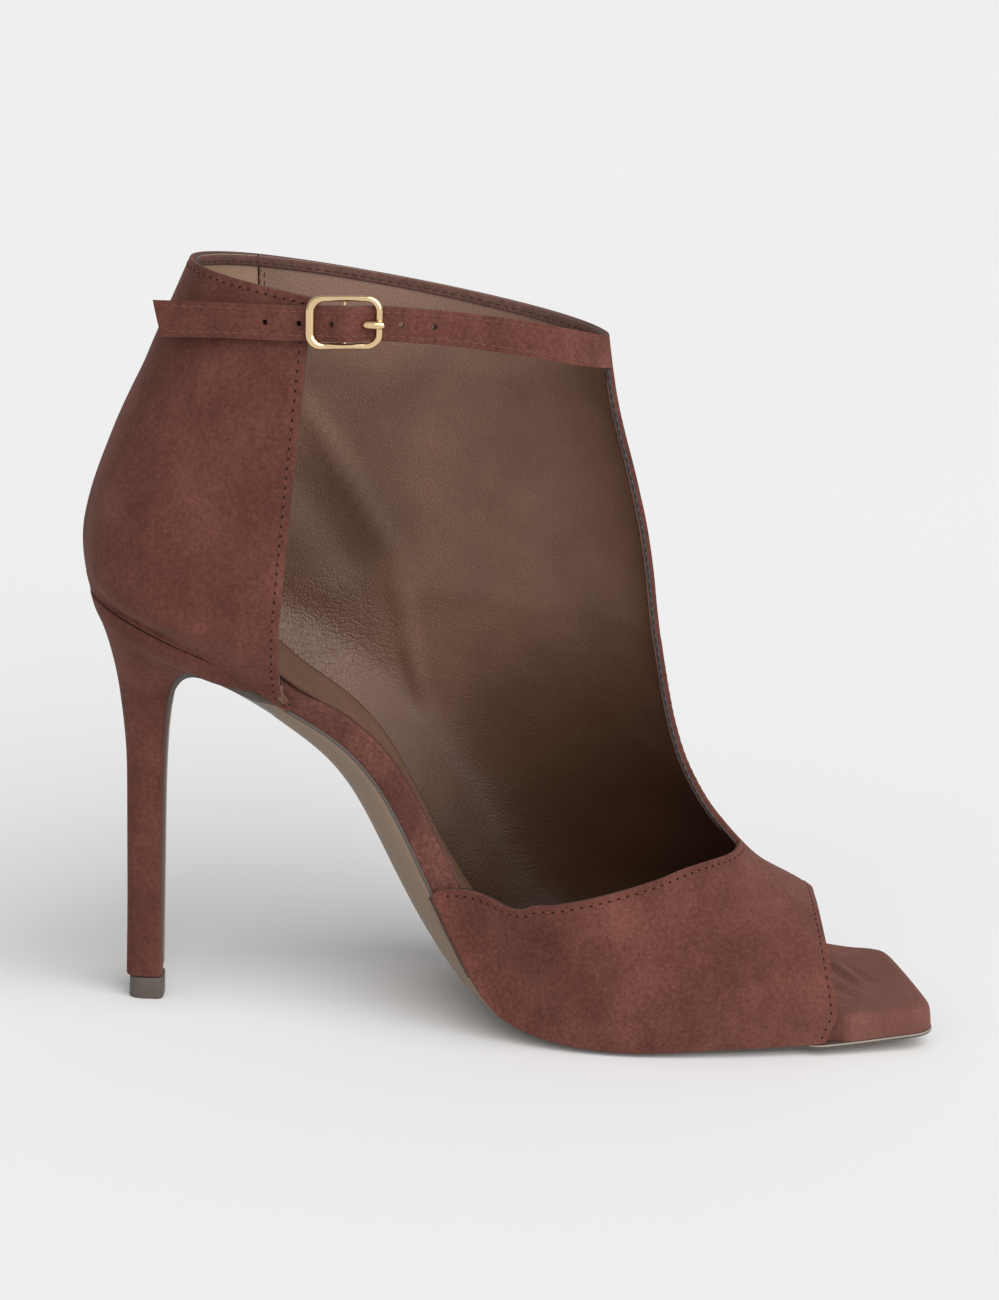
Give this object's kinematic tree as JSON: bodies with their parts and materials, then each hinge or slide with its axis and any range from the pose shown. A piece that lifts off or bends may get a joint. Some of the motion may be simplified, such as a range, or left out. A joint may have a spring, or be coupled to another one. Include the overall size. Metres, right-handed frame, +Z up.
{
  "type": "heeled sandal",
  "caption": "Left high-heeled peep-toe sandal of suede: closed outer side, open inner side, ankle strap with a small buckle, slim covered heel",
  "frame": {"origin": "the middle of the heel tip's flat underside, on the floor", "axes": "+X runs from the heel to the toe, +Y to the shoe's closed outer side, which is the left of a left foot, and +Z up"},
  "size_m": [0.2292, 0.0814, 0.2027],
  "materials": {
    "suede": "brushed suede",
    "insole_suede": "suede and smooth lining",
    "sole_brown": "satin",
    "tip_grey_brown": "matte",
    "pale_gold": "polished",
    "elastic_brown": "ribbed"
  },
  "bodies": {
    "root": {"upper": "suede", "insole": "insole_suede", "outsole": "sole_brown", "heel": "suede", "heel_tip": "tip_grey_brown", "buckle_frame": "pale_gold", "buckle_prong": "pale_gold", "elastic_loop": "elastic_brown"}
  },
  "joints": []
}
